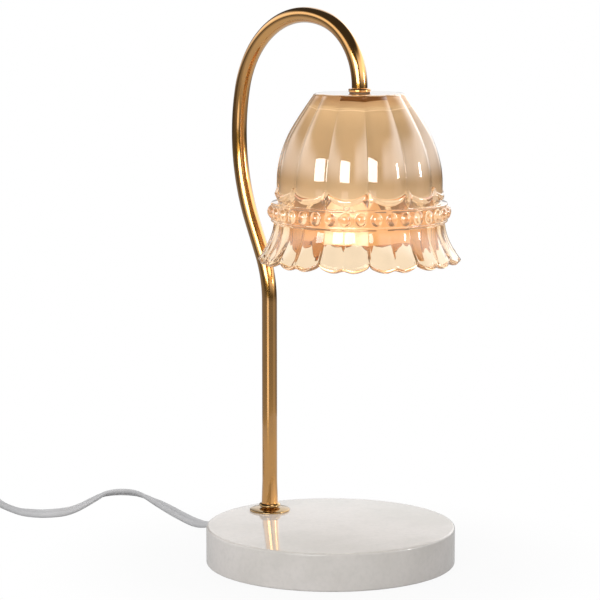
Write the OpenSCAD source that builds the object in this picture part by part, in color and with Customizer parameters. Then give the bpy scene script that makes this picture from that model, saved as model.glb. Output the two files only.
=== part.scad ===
// Table lamp that melts scented wax from above.
// A marble disc carries a bent brass tube, and a pressed glass shade with a twist-lock bulb hangs from it.
// A flat cord leaves the disc at the back, with a dimmer on it, and ends in a coil and a plug.
// Millimetres. The origin is on the table under the disc's centre, +Z is up, +X runs from stem to shade.

/* [Marble base] */
// Diameter of the marble disc
base_d = 130; // [120:1:180]
// Height of the marble's top face above the table
base_h = 20; // [19:0.5:30]
// Rounding of the disc's top edge
base_top_r = 1.4; // [0.6:0.1:3]
// Rounding of the disc's lower edge
base_low_r = 1; // [0.6:0.1:3]
// Bare ring of marble around the pad
pad_inset = 5; // [4:0.5:12]
// Thickness of the anti-slip pad
pad_t = 2; // [1.5:0.1:3]
// How far the pad stands out below the marble
pad_proud = 0.4; // [0.4:0.1:1.2]
// Distance from the disc's edge to the stem's axis
foot_inset = 18; // [17:0.5:28]
// Radius of the pocket under the stem
pocket_r = 12; // [11:0.5:13]
// Marble left above the pocket
pocket_roof = 5; // [4:0.5:6]

/* [Stem and neck] */
// Outside diameter of the brass tube
tube_d = 8; // [7:0.25:9]
// Wall of the brass tube
tube_wall = 0.8; // [0.6:0.05:1]
// Straight stem above the marble
stem_h = 113; // [80:1:160]
// Radius of the bend that leans back
back_r = 60; // [40:1:90]
// Angle of the bend that leans back
back_a = 25; // [15:1:32]
// Straight stretch after the bend that leans back
back_run = 18; // [5:1:40]
// Radius of the long bend that swings forward
swan_r = 110; // [80:1:140]
// Angle of the long bend that swings forward
swan_a = 38; // [25:1:50]
// Radius of the crown bend
crown_r = 50; // [44:1:65]
// Angle of the crown bend
crown_a = 95; // [80:1:110]
// Radius of the bend that drops to the shade
fall_r = 35; // [30:1:45]
// Straight end of the tube above the shade
drop_l = 0.4; // [0.4:0.1:10]
// How far the stem's foot flares out
flare = 0.4; // [0.1:0.05:0.6]
// Length of the flare at the stem's foot
flare_l = 12; // [6:1:20]

/* [Foot fittings] */
// Diameter of the brass flange on the marble
flange_d = 21.5; // [18:0.5:28]
// Thickness of the flange at its edge
flange_rim = 0.9; // [0.6:0.1:1.2]
// Thickness of the flange at its middle
flange_t = 1.6; // [1.3:0.1:2.5]
// Diameter of the collar on the flange
collar_d = 11.4; // [10.5:0.1:15]
// Height of the collar
collar_h = 2.6; // [1.5:0.1:4]
// Outside diameter of the lock washer under the marble
lock_washer_d = 18; // [15:0.5:20]
// Thickness of the lock washer
lock_washer_t = 1.2; // [0.8:0.1:2]
// Width across flats of the lock nut
lock_nut_w = 13; // [11:0.5:15]
// Height of the lock nut
lock_nut_h = 3.6; // [2.5:0.1:4]

/* [Glass shade] */
// Radius of the shade's flat top
top_r = 22; // [18:0.5:28]
// Radius of the dome at the creases between its lobes
dome_r = 39.8; // [36:0.2:46]
// Depth at which the dome stands upright
dome_h = 45; // [38:0.5:47]
// How far a lobe swells beyond its creases
lobe_h = 2.6; // [0.8:0.1:3.2]
// Depth of the cusps between the dome's scallops
cusp_d = 47.5; // [42:0.5:48]
// Depth of the scallops' lowest points
scallop_d = 53.5; // [50:0.5:54]
// Radius of the neck under the scallops
neck_r = 41.6; // [40:0.1:42.5]
// Radius of the beaded band
band_r = 44.8; // [43:0.1:46]
// Depth of the beaded band's upper edge
band_top = 55.2; // [55:0.1:57]
// Height of the beaded band
band_h = 9.6; // [7.5:0.1:11]
// Radius of a bead
bead_r = 2.5; // [1.8:0.1:3]
// How far a bead stands out of the band
bead_h = 2.2; // [1:0.1:2.8]
// How far a stud stands out at a cusp
stud_h = 2.4; // [1:0.1:3]
// Radius of the waist under the band
waist_r = 42.6; // [41:0.1:44]
// How far the skirt flares out at its creases
skirt_flare = 6.8; // [4:0.1:9]
// How far a petal swells beyond its creases
petal_h = 2.5; // [1:0.1:3.5]
// Depth of the petals' tips
tip_d = 86.5; // [80:0.5:96]
// How far the gaps between the petals cut up from the tips
petal_gap = 4.3; // [3:0.1:8]
// Depth of the small notch in each petal's middle
petal_notch = 1.5; // [0.5:0.1:2.5]
// Wall of the glass at the creases
glass_t = 3; // [2.4:0.1:3.6]
// Thickness of the glass at the top
roof_t = 7; // [5:0.5:9]
// Turn of the lobes about the shade's axis
shade_turn = 6.5; // [0:0.5:30]

/* [Shade fittings] */
// Diameter of the brass ring on the shade
ring_d = 11.4; // [10.8:0.1:16]
// Height of the brass ring
ring_h = 2; // [1.5:0.1:4]
// Thickness of the gaskets above and below the glass
gasket_t = 0.5; // [0.4:0.1:1.5]
// Diameter of the hole in the glass
glass_hole_d = 8.4; // [7.6:0.1:9]
// Bore of the threaded nipple
nipple_bore = 4.3; // [4.1:0.1:4.6]
// How far the nipple reaches into the tube
nipple_grip = 1.5; // [0.5:0.1:1.8]
// Diameter of the inner gasket and washer
washer_d = 18; // [14:0.5:22]
// Thickness of the washer
washer_t = 1.2; // [0.8:0.1:2]
// Width across flats of the nipple's two nuts
nipple_nut_w = 10; // [9:0.5:11]
// Height of the nut that clamps the glass
clamp_nut_h = 4; // [3:0.1:5]
// Height of the nut that holds the strap
strap_nut_h = 3; // [2.5:0.1:4]

/* [Lampholder] */
// Diameter of the ceramic lampholder
holder_d = 31; // [30:0.5:36]
// Height of the ceramic lampholder
holder_h = 15; // [15:0.5:20]
// Thickness of the strap
strap_t = 1.2; // [1:0.1:2]
// Width of the strap
strap_w = 10; // [8:0.5:12]
// Distance between the holder's two screws
screw_pitch = 23; // [22.5:0.1:24]
// Diameter of the holder's screws
screw_d = 3; // [2.5:0.1:3.4]
// Thickness of the lip that the bulb's pins hang on
lip_t = 4; // [3.8:0.1:4.5]
// Turn that locks the bulb
twist_a = 60; // [40:1:75]

/* [Bulb] */
// Distance between the bulb's two pins
pin_pitch = 10; // [9.8:0.1:10.4]
// Diameter of a pin's head
pin_head_d = 5; // [4.8:0.1:5.2]
// Height of a pin's head
pin_head_h = 3; // [2.4:0.1:3.2]
// Diameter of a pin's neck
pin_neck_d = 3.4; // [2.8:0.1:3.8]
// Diameter of the bulb's base
bulb_base_d = 19; // [16:0.5:22]
// Height of the bulb's base
bulb_base_h = 16; // [12:0.5:18]
// Diameter of the bulb's face
bulb_d = 50; // [40:0.5:52]
// Height of the bulb without its pins
bulb_h = 46; // [40:0.5:50]
// Wall of the reflector
reflector_t = 1.6; // [1.2:0.1:2]
// Height of the straight rim at the bulb's face
rim_h = 4; // [3:0.5:6]
// Thickness of the front glass
lens_t = 2; // [1.5:0.1:2.5]
// Diameter of the capsule in the reflector
capsule_d = 9; // [7:0.5:11]
// Length of the capsule
capsule_l = 18; // [14:0.5:19]

/* [Cord] */
// Width of the flat cord
cord_w = 5.4; // [5:0.1:5.8]
// Thickness of the flat cord
cord_t = 2.8; // [2.4:0.1:2.9]
// Height of the cord's axis where it leaves the base
exit_z = 4.6; // [4.4:0.1:5.4]
// Radius of the strain relief's shank
shank_r = 3.4; // [3:0.1:3.6]
// Radius of the strain relief at the marble
boot_r = 4.4; // [4:0.1:4.4]
// Radius of the strain relief's tip
tip_r = 3; // [2.9:0.1:3.4]
// Length of the tapered strain relief
boot_l = 20; // [20:1:30]
// Diameter of a lead wire in the tube
wire_d = 1.9; // [1.5:0.1:1.9]
// Distance between the two lead wires
wire_pitch = 2.1; // [2:0.05:2.15]
// Radius in which the lead wires turn up into the tube
wire_bend = 5; // [4:0.5:6]

/* [Dimmer] */
// Length of the dimmer's case
dimmer_l = 52; // [50:1:70]
// Width of the dimmer's case
dimmer_w = 27; // [26:0.5:36]
// Height of the dimmer's case
dimmer_h = 18; // [17:0.5:22]
// Height of the joint between the two shells
split_z = 7; // [6.5:0.5:8]
// Wall of the dimmer's case
case_t = 1.8; // [1.5:0.1:2.2]
// Rounding of the case's corners
case_r = 6; // [4:0.5:9]
// Diameter of the thumb wheel
wheel_d = 17; // [16:0.5:18]
// Width of the thumb wheel
wheel_w = 6.4; // [5:0.1:7]
// How far the wheel stands out of the case
wheel_proud = 3.5; // [2:0.1:3.8]
// Number of grip grooves in the wheel
wheel_grooves = 24; // [12:1:30]
// Diameter of the wheel's shaft
shaft_d = 4; // [3:0.1:5]
// Thickness of the circuit board
board_t = 1.2; // [1:0.1:1.6]
// Diameter of the case screws
case_screw_d = 2.4; // [2:0.1:2.6]

/* [Plug and coil] */
// Width of the plug's body
plug_w = 22; // [20:0.5:28]
// Height of the plug's body
plug_h = 18; // [16:0.5:22]
// Length of the plug's body
plug_l = 22; // [18:1:30]
// Length of the plug's tapered strain relief
plug_boot_l = 20; // [16:1:30]
// Distance between the plug's blades
blade_pitch = 12.7; // [11:0.1:13.5]
// Width of a blade
blade_w = 6.35; // [5:0.05:7]
// Thickness of a blade
blade_t = 1.5; // [1:0.1:2]
// Length of a blade
blade_l = 17; // [12:0.5:18]
// Radius of the coil's outermost turn
coil_r = 35; // [33:0.5:42]
// Step from one turn of the coil to the next
coil_step = 3.4; // [3.4:0.1:4]
// Gap between the coil's two layers
layer_gap = 0.6; // [0.5:0.1:1.5]
// Width of the tie round the coil
tie_w = 6; // [4:0.5:10]
// Thickness of the tie
tie_t = 1; // [0.6:0.1:1.5]

/* [Hidden] */
$fn = 64;

// Clearance of pieces that are fastened together
fit = 0.1;
// Clearance of a shaft in its bearing
run_fit = 0.05;
// Clearance between a moving piece and a still one
air = 0.3;
// Overshoot of a cut past the face it opens
cut = 1;
// Where stretches of tube or wire join, the bent one laps over and is thicker by the skin
lap = 0.2;
skin = 0.03;

// Colours
brass = [0.72, 0.53, 0.24];
steel = [0.72, 0.72, 0.74];
marble = [0.91, 0.89, 0.87];
amber = [0.88, 0.7, 0.5, 0.75];
white_pvc = [0.9, 0.9, 0.9];
ceramic = [0.93, 0.92, 0.88];
dark_rubber = [0.2, 0.19, 0.18];
board_green = [0.2, 0.42, 0.28];

// Places in the base
base_r = base_d / 2;
foot_x = foot_inset - base_r;
pad_r = base_r - pad_inset;
pocket_z = base_h - pocket_roof;
shank_l = min(pad_inset - fit, foot_inset - pocket_r);
shank_x = shank_l - base_r;
tube_r = tube_d / 2;
bore_r = tube_r - tube_wall;
flange_z = base_h;
collar_z = flange_z + flange_t;
stem_foot = collar_z + collar_h;
lock_nut_z = pocket_z - lock_washer_t - lock_nut_h;
tail_z = lock_nut_z - cut;

// The neck's bends, as centres and ends in the XZ plane
stem_z = base_h + stem_h;
back_c = [foot_x - back_r, stem_z];
back_end = back_c + back_r * [cos(back_a), sin(back_a)];
run_end = back_end + back_run * [-sin(back_a), cos(back_a)];
swan_c = run_end + swan_r * [cos(back_a), sin(back_a)];
swan_lean = back_a - swan_a;
swan_end = swan_c - swan_r * [cos(swan_lean), sin(swan_lean)];
crown_c = swan_end + crown_r * [cos(swan_lean), sin(swan_lean)];
crown_lean = swan_lean - crown_a;
crown_end = crown_c - crown_r * [cos(crown_lean), sin(crown_lean)];
fall_c = crown_end + fall_r * [cos(crown_lean), sin(crown_lean)];
fall_a = 180 + crown_lean;
head_x = fall_c.x + fall_r;
neck_z = fall_c.y - drop_l;

// Heights under the tube's end, from the brass ring down to the bulb
glass_z = neck_z - ring_h - gasket_t;
roof_z = glass_z - roof_t;
washer_z = roof_z - gasket_t - washer_t;
clamp_nut_z = washer_z - clamp_nut_h;
strap_z = clamp_nut_z - strap_t;
strap_nut_z = strap_z - strap_nut_h;
nipple_r = bore_r - fit;
nipple_z = strap_nut_z - fit;
contact_t = 0.6;
recess_h = strap_nut_h + fit + contact_t + air;
recess_z = strap_z - recess_h;
recess_r = nipple_nut_w / 2 / cos(30) + cut;
holder_z = strap_z - holder_h;
pin_r = pin_pitch / 2;
head_r = pin_head_d / 2;
lip_z = holder_z + lip_t;
pocket_h = pin_head_h + 2 * air;
rivet_d = 2.4;
bulb_z = holder_z - air;
face_z = bulb_z - bulb_h;
base_low_z = bulb_z - bulb_base_h;

// Screws of the lampholder and of the dimmer
screw_head_d = 1.8 * screw_d;
screw_head_h = 0.7 * screw_d;
screw_seat = screw_head_h + cut;
case_head_d = 1.8 * case_screw_d;
case_head_h = 0.6 * case_screw_d;
boss_r = case_screw_d / 2 + 1.8;

// Cord: the tip of the strain relief, the dimmer, the coil and the plug follow one another
cord_out = [-base_r - boot_l, 0];
dimmer_in = cord_out + [-227, -48];
dimmer_out = dimmer_in - [0, dimmer_l];
coil_in = dimmer_out + [54, -25];
coil_c = coil_in + [0, coil_r];
lead_l = 24;
plug_at = coil_in + [lead_l, 0];
plug_z = plug_h / 2;
grip_l = 5;
cord_sides = 10;
cord_steps = 2;

// Points of the stretch on the table, from the strain relief's tip: x, y, height of the axis, roll
run_points = [
  [0, 0, exit_z, 0], [-3, 0, exit_z, 0], [-6, 0, exit_z, 0], [-13, 0, 3.2, 0],
  [-20, 0.5, 2, 0], [-31, 3, 1.5, 0],
  [-50, 9, 1.5, 0], [-74, 18, 1.5, 0], [-90, 23.5, 1.7, 15], [-100, 26, 2, 30], [-109.5, 26, 2.2, 40],
  [-116.5, 20.5, 2.3, 40], [-118, 11.5, 2.2, 30], [-113, 0, 1.8, 10], [-105.5, -14, 1.6, 0],
  [-99, -27, 1.9, -20], [-97, -37, 2.2, -40], [-101, -46.5, 2.3, -40], [-110, -51, 2.1, -30],
  [-121, -51, 1.7, -10], [-140, -47, 1.5, 0], [-160, -38.5, 1.5, 0], [-180, -26.5, 1.5, 0],
  [-192, -20.5, 1.7, 0], [-204, -18, 2.6, 0], [-216, -21, 4.3, 0], [-224, -29, 6.2, 0]
];
run_route = [for (p = run_points) [cord_out.x + p[0], cord_out.y + p[1], p[2], p[3]]];
run_last = [
  [dimmer_in.x, dimmer_in.y + 8, split_z, 0], [dimmer_in.x, dimmer_in.y, split_z, 0],
  [dimmer_in.x, dimmer_in.y - case_t - grip_l, split_z, 0]
];

// Coil: two layers on edge, spiralling in below and out above
coil_turns = 7;
climb_turns = 0.5;
layer_turns = (coil_turns - climb_turns) / 2;
low_z = tie_t + air + cord_w / 2;
high_z = low_z + cord_w + layer_gap;
loop_rings = 24;
coil_sides = 6;

// Points of the stretch from the dimmer to the coil, from the dimmer's face: x, y, height, roll
tail_points = [
  [0, grip_l + case_t, split_z, 0], [0, 0, split_z, 0], [0, -4, split_z, 0], [3, -13.5, 6.6, 15],
  [11, -21.5, 5.8, 40], [22, -25, 4.9, 65], [34, -25, low_z, 90], [42, -25, low_z, 90]
];
tail_route = [for (p = tail_points) [dimmer_out.x + p[0], dimmer_out.y + p[1], p[2], p[3]]];
tail_last = [[coil_in.x - cord_w, coil_in.y, low_z, 90]];

// Vector helpers
function unit(v) = v / norm(v);
function side_of(t) = unit(cross([0, 0, 1], t));

// Smooth curve through a route's points, with each stretch cut into steps
function blend4(a, b, c, d, t) =
  (2 * b + (c - a) * t + (2 * a - 5 * b + 4 * c - d) * t * t + (3 * b - a - 3 * c + d) * t * t * t) / 2;
function smooth_route(p, n) = [
  for (i = [0 : len(p) - 2], k = [0 : n - 1])
    blend4(p[max(i - 1, 0)], p[i], p[i + 1], p[min(i + 2, len(p) - 1)], k / n),
  p[len(p) - 1]
];

// Flat oval of the cord, with its width level at roll 0 and upright at roll 90
function cord_ring(p, t, sides) = let (
  s = side_of(t),
  u = unit(cross(t, s)),
  wide = cos(p[3]) * s + sin(p[3]) * u,
  thick = cos(p[3]) * u - sin(p[3]) * s
) [
  for (k = [0 : sides - 1])
    let (a = 360 * (k + 0.5) / sides)
      [p[0], p[1], p[2]] + cord_w / 2 * cos(a) / cos(180 / sides) * wide
        + cord_t / 2 * sin(a) * thick
];
function xyz(p) = [p[0], p[1], p[2]];
function heading(p, i) = unit(xyz(p[min(i + 1, len(p) - 1)]) - xyz(p[max(i - 1, 0)]));
function cord_rings(p, sides) = [for (i = [0 : len(p) - 1]) cord_ring(p[i], heading(p, i), sides)];
function tube_faces(n, m) = [
  for (i = [0 : n - 2], k = [0 : m - 1])
    let (a = i * m + k, b = i * m + (k + 1) % m)
      each [[a, a + m, b], [b, a + m, b + m]],
  for (k = [1 : m - 2]) [0, k, k + 1],
  for (k = [1 : m - 2]) [(n - 1) * m, (n - 1) * m + k + 1, (n - 1) * m + k]
];
module cord_tube(route, sides) {
  rings = cord_rings(route, sides);
  polyhedron([for (r = rings) each r], tube_faces(len(rings), sides), convexity = 10);
}

// The coil's axis: radius and height at a count of turns from its start
function turn_in(t) = min(t, layer_turns + climb_turns / 2);
function turn_out(t) = max(0, t - layer_turns - climb_turns / 2);
function coil_radius(t) = coil_r - coil_step * (turn_in(t) - turn_out(t));
function coil_climb(t) = min(max((t - layer_turns) / climb_turns, 0), 1);
function coil_point(t) = let (a = 360 * t - 90, r = coil_radius(t)) [
  coil_c.x + r * cos(a), coil_c.y + r * sin(a), low_z + (high_z - low_z) * coil_climb(t), 90
];
coil_route = [
  [coil_in.x - cord_w, coil_in.y, low_z, 90],
  for (i = [0 : coil_turns * loop_rings]) coil_point(i / loop_rings),
  [coil_in.x + 0.3 * lead_l, coil_in.y, high_z - 0.1 * (high_z - plug_z), 70],
  [coil_in.x + 0.55 * lead_l, coil_in.y, high_z - 0.55 * (high_z - plug_z), 35],
  [coil_in.x + 0.75 * lead_l, coil_in.y, plug_z, 8],
  [plug_at.x, plug_at.y, plug_z, 0]
];

// Least gap of the coil to itself, between the points of turns that lie beside each other
function ring_gap(a, b) = min([for (p = a, q = b) norm(p - q)]);
function coil_gap(rings) = min([
  for (i = [1 : coil_turns * loop_rings], k = [1 : coil_turns])
    let (j = i + k * loop_rings)
      if (j <= coil_turns * loop_rings) min([for (d = [-1 : 1]) ring_gap(rings[i], rings[j + d])])
]);

// Shade: lobes and petals repeat twelve times, beads thirty-six times
lobes = 12;
beads_per_lobe = 3;
columns = 108;
stud_w = 4.2;
stud_drop = 2.2;
lip_h = 1.2;
function crest(a) = abs(cos(lobes / 2 * a));
function notch(a) = pow(crest(a), 12);
function bulge(a) = let (p = 360 / lobes) 1 - pow(2 * (a / p - round(a / p)), 2);
function clip(s) = min(max(s, 0), 1);
function dome_at(d) = top_r + (dome_r - top_r) * sin(90 * clip(d / dome_h));
function lobe_at(d) = lobe_h * (0.35 + 0.65 * clip(d / 20));
function scallop_at(a) = cusp_d + (scallop_d - cusp_d) * pow(crest(a), 0.7);
function dome_point(s, a) = let (d = edge_r + s * (scallop_at(a) - edge_r))
  [dome_at(d) + lobe_at(d) * bulge(a), d];
function bead_at(a, d) = let (
  b = 360 / lobes / beads_per_lobe,
  off = a - b * round(a / b),
  p = pow(band_r * off * PI / 180, 2) + pow(d - band_top - band_h / 2, 2)
) bead_h * sqrt(max(0, 1 - p / pow(bead_r, 2)));
function stud_at(a, d) = let (
  off = abs(a - 360 / lobes * (floor(a * lobes / 360) + 0.5)),
  p = (abs(off) * neck_r * PI / 180 + abs(d - cusp_d - stud_drop)) / stud_w
) stud_h * max(0, 1 - p);
function neck_point(s, a) = let (d = scallop_at(a) + lip_h + s * (band_top - scallop_at(a) - lip_h))
  [neck_r + stud_at(a, d), d];
function band_point(s, a) = let (d = band_top + s * band_h) [band_r + bead_at(a, d), d];
skirt_d = band_top + band_h + 0.8;
edge_r = 1.2;
function hem_at(a) = tip_d - petal_gap * (1 - pow(crest(a), 0.5)) - petal_notch * notch(a);
function flare_at(s) = waist_r + skirt_flare * pow(s, 2.2);
function petal_at(s, a) = petal_h * (0.4 + 0.6 * s) * (pow(crest(a), 0.6) - 0.35 * notch(a));
function skirt_point(s, a) = let (d = skirt_d + s * (hem_at(a) - edge_r - skirt_d))
  [flare_at(s) + petal_at(s, a), d];
function inner_skirt(s, a) = let (d = skirt_d + s * (hem_at(a) - edge_r - skirt_d))
  [flare_at(s) - glass_t, d];
function hem_point(a) = [flare_at(1) + petal_at(1, a) / 2 - glass_t / 2, hem_at(a)];
function inner_dome(d) = [dome_at(d) - glass_t, d];
roof_fillet = 4;
function shade_column(a) = [
  [glass_hole_d / 2, 0], [top_r - edge_r, 0],
  for (i = [0 : 8]) dome_point(i / 8, a),
  for (i = [0 : 2]) neck_point(i / 2, a),
  for (s = [0.06, 0.22, 0.36, 0.5, 0.64, 0.78, 0.94]) band_point(s, a),
  for (i = [0 : 6]) skirt_point(i / 6, a),
  hem_point(a),
  for (i = [3 : -1 : 0]) inner_skirt(i / 3, a),
  [waist_r - glass_t, band_top], inner_dome(dome_h),
  for (i = [3 : -1 : 1]) inner_dome(roof_t + roof_fillet + (dome_h - roof_t - roof_fillet) * i / 4),
  inner_dome(roof_t + roof_fillet), [dome_at(roof_t) - glass_t - roof_fillet, roof_t],
  [glass_hole_d / 2, roof_t]
];
function turned(p, a) = [p[0] * cos(a + shade_turn), p[0] * sin(a + shade_turn), -p[1]];
function loop_faces(n, m) = [
  for (j = [0 : n - 1], i = [0 : m - 1])
    let (a = j * m + i, b = j * m + (i + 1) % m, c = (j + 1) % n * m + i, d = (j + 1) % n * m + (i + 1) % m)
      each [[a, b, c], [b, d, c]]
];

// Shared shapes
module ring(d, bore, h) {
  difference() {
    cylinder(d = d, h = h);
    translate([0, 0, -cut]) cylinder(r = bore, h = h + 2 * cut);
  }
}

module hex_nut(w, bore, h) {
  difference() {
    cylinder(r = w / 2 / cos(30), h = h, $fn = 6);
    translate([0, 0, -cut]) cylinder(r = bore, h = h + 2 * cut);
  }
}

module screw(d, head_d, head_h, l) {
  cylinder(d = d, h = l);
  translate([0, 0, -head_h]) cylinder(d = head_d, h = head_h);
}

module rounded(l, w, r) {
  translate([r - l / 2, -w / 2]) square([l - 2 * r, w]);
  translate([-l / 2, r - w / 2]) square([l, w - 2 * r]);
  for (x = [-1, 1], y = [-1, 1]) translate([x * (l / 2 - r), y * (w / 2 - r)]) circle(r);
}

module at_foot(z) {
  translate([foot_x, 0, z]) children();
}

module at_head(z) {
  translate([head_x, 0, z]) children();
}

module at_dimmer() {
  translate([dimmer_in.x, dimmer_in.y - dimmer_l / 2, 0]) rotate(-90) children();
}

module at_plug() {
  translate([plug_at.x, plug_at.y, plug_z]) children();
}

// Bend of an outline in the XZ plane, from one angle on through a sweep, longer by a lap at both ends
module bend(c, r, from, sweep, over) {
  more = over / r * 180 / PI;
  translate([c.x, 0, c.y]) rotate([90, 0, 0]) rotate(from - more)
    rotate_extrude(angle = sweep + 2 * more) translate([r, 0]) children();
}

// Two outlines swept along the neck in turn, a plain one and one with the skin that laps over it
module along_neck() {
  bend(back_c, back_r, 0, back_a, lap) children(1);
  translate([back_end.x, 0, back_end.y]) rotate([0, -back_a, 0]) linear_extrude(back_run) children(0);
  bend(swan_c, swan_r, 180 + swan_lean, swan_a, lap) children(1);
  bend(crown_c, crown_r, 180 + crown_lean, crown_a, 0) children(0);
  bend(fall_c, fall_r, 0, fall_a, lap) children(1);
  at_head(neck_z) linear_extrude(drop_l) children(0);
}

// Pieces of the base
module disc_outline() {
  translate([0, pad_proud + base_low_r]) square([base_r, base_h - base_top_r - pad_proud - base_low_r]);
  translate([0, pad_proud]) square([base_r - base_low_r, base_h - pad_proud - base_top_r]);
  translate([0, pad_proud + base_low_r]) square([base_r - base_top_r, base_h - pad_proud - base_low_r]);
  translate([base_r - base_top_r, base_h - base_top_r]) circle(base_top_r);
  translate([base_r - base_low_r, pad_proud + base_low_r]) circle(base_low_r);
}

module marble_base() {
  color(marble) difference() {
    rotate_extrude() disc_outline();
    translate([0, 0, pad_proud - cut]) cylinder(r = pad_r + fit, h = pad_t - pad_proud + cut);
    at_foot(pad_proud) cylinder(r = pocket_r, h = pocket_z - pad_proud);
    at_foot(base_h - pocket_roof - cut) cylinder(r = tube_r + fit, h = pocket_roof + 2 * cut);
    at_foot(exit_z) rotate([0, -90, 0]) cylinder(r = shank_r + fit, h = foot_inset + cut);
    at_foot(0) translate([-foot_inset - cut, -shank_r - fit, -cut])
      cube([foot_inset + cut, 2 * (shank_r + fit), exit_z + cut]);
  }
}

module base_pad() {
  color(dark_rubber) cylinder(r = pad_r, h = pad_t);
}

module foot_flange() {
  b = tube_r + fit;
  color(brass) at_foot(flange_z) rotate_extrude() polygon([
    [b, 0], [flange_d / 2, 0], [flange_d / 2, flange_rim], [collar_d / 2 + fit, flange_t], [b, flange_t]
  ]);
}

module foot_collar() {
  b = tube_r + fit;
  r = collar_d / 2;
  c = collar_h / 5;
  color(brass) at_foot(collar_z) rotate_extrude() polygon([
    [b, 0], [r - c, 0], [r, c], [r, collar_h - c], [r - c, collar_h], [b, collar_h]
  ]);
}

module lock_washer() {
  color(steel) at_foot(pocket_z - lock_washer_t) ring(lock_washer_d, tube_r + fit, lock_washer_t);
}

module lock_nut() {
  color(steel) at_foot(lock_nut_z) hex_nut(lock_nut_w, tube_r + fit, lock_nut_h);
}

module tube_outline(more) {
  difference() {
    circle(tube_r + more);
    circle(bore_r - more);
  }
}

module arm_tube() {
  color(brass) {
    at_foot(0) rotate_extrude() polygon([
      [bore_r, tail_z], [tube_r, tail_z], [tube_r, stem_foot], [tube_r + flare, stem_foot],
      [tube_r, stem_foot + flare_l], [tube_r, stem_z], [bore_r, stem_z]
    ]);
    along_neck() {
      tube_outline(0);
      tube_outline(skin);
    }
  }
}

module strain_relief() {
  boot_end = shank_l + boot_l;
  color(white_pvc) translate([shank_x, 0, exit_z]) rotate([0, -90, 0]) rotate_extrude() polygon([
    [0, 0], [shank_r, 0], [shank_r, shank_l], [boot_r, shank_l], [tip_r, boot_end], [0, boot_end]
  ]);
}

module wire_pair(more) {
  for (s = [-1, 1]) translate([0, s * wire_pitch / 2]) circle(wire_d / 2 + more);
}

module lead_wires() {
  turn_z = exit_z + wire_bend;
  wire_end = recess_z + contact_t;
  color(white_pvc) {
    translate([shank_x, 0, exit_z]) rotate([0, 90, 0])
      linear_extrude(foot_x - wire_bend - shank_x) wire_pair(0);
    bend([foot_x - wire_bend, turn_z], wire_bend, -90, 90, lap) wire_pair(skin);
    at_foot(turn_z) linear_extrude(stem_z - turn_z) wire_pair(0);
    along_neck() {
      wire_pair(0);
      wire_pair(skin);
    }
    at_head(wire_end) linear_extrude(neck_z + drop_l - wire_end) wire_pair(0);
  }
}

// Pieces that hold the shade
module neck_ring() {
  b = nipple_r + fit;
  r = ring_d / 2;
  c = ring_h / 4;
  color(brass) at_head(neck_z - ring_h) rotate_extrude() polygon([
    [b, 0], [r - c, 0], [r, c], [r, ring_h - c], [r - c, ring_h], [b, ring_h]
  ]);
}

module neck_gasket() {
  color(dark_rubber) at_head(glass_z) ring(ring_d - 2 * gasket_t, nipple_r + fit, gasket_t);
}

module glass_shade() {
  rows = len(shade_column(0));
  points = [
    for (j = [0 : columns - 1])
      let (a = 360 * (j + 0.5) / columns)
        for (p = shade_column(a)) turned(p, a)
  ];
  color(amber) at_head(glass_z) polyhedron(points, loop_faces(columns, rows), convexity = 10);
}

module shade_nipple() {
  color(brass) at_head(nipple_z) ring(2 * nipple_r, nipple_bore / 2, neck_z + nipple_grip - nipple_z);
}

module shade_gasket() {
  color(dark_rubber) at_head(roof_z - gasket_t) ring(washer_d, nipple_r + fit, gasket_t);
}

module shade_washer() {
  color(steel) at_head(washer_z) ring(washer_d, nipple_r + fit, washer_t);
}

module clamp_nut() {
  color(steel) at_head(clamp_nut_z) hex_nut(nipple_nut_w, nipple_r + fit, clamp_nut_h);
}

module strap_nut() {
  color(steel) at_head(strap_nut_z) hex_nut(nipple_nut_w, nipple_r + fit, strap_nut_h);
}

module holder_strap() {
  l = screw_pitch + 2 * screw_d;
  color(steel) at_head(strap_z) difference() {
    linear_extrude(strap_t) rounded(l, strap_w, strap_w / 4);
    translate([0, 0, -cut]) cylinder(r = nipple_r + fit, h = strap_t + 2 * cut);
    at_screws(-cut) cylinder(d = screw_d + 2 * fit, h = strap_t + 2 * cut);
  }
}

// Lampholder with its two keyhole slots
module pin_arc(r, z, h) {
  more = asin(r / pin_r);
  for (s = [90, 270]) rotate(s - more) translate([0, 0, z])
    rotate_extrude(angle = twist_a + 2 * more) translate([pin_r - r, 0]) square([2 * r, h]);
}

module at_pins(turn, z) {
  for (s = [90, 270]) rotate(s + turn) translate([pin_r, 0, z]) children();
}

module at_screws(z) {
  for (s = [-1, 1]) translate([s * screw_pitch / 2, 0, z]) children();
}

module lampholder() {
  color(ceramic) at_head(holder_z) difference() {
    cylinder(d = holder_d, h = holder_h);
    translate([0, 0, holder_h - recess_h]) cylinder(r = recess_r, h = recess_h + cut);
    pin_arc(pin_neck_d / 2 + air, -cut, lip_t + 2 * cut);
    pin_arc(head_r + air, lip_t, pocket_h);
    at_pins(twist_a, -cut) cylinder(r = head_r + air - fit, h = lip_t + 2 * cut);
    at_pins(0, lip_t + cut) cylinder(d = rivet_d + 2 * fit, h = holder_h);
    at_screws(-cut) cylinder(d = screw_d + 2 * fit, h = holder_h + 2 * cut);
    at_screws(-cut) cylinder(d = screw_head_d + 2 * fit, h = screw_seat + cut);
  }
}

module holder_contacts() {
  rivet_z = lip_z + pocket_h;
  strip_l = pin_r + rivet_d / 2 - wire_pitch / 2;
  color(brass) at_head(0) {
    at_pins(0, rivet_z) cylinder(d = rivet_d, h = recess_z - rivet_z);
    at_pins(0, recess_z) translate([rivet_d / 2 - strip_l, -rivet_d / 2, 0])
      cube([strip_l, rivet_d, contact_t]);
  }
}

module holder_screws() {
  color(steel) at_head(holder_z) at_screws(screw_seat)
    screw(screw_d, screw_head_d, screw_head_h, holder_h - screw_seat + strap_t + cut);
}

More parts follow.
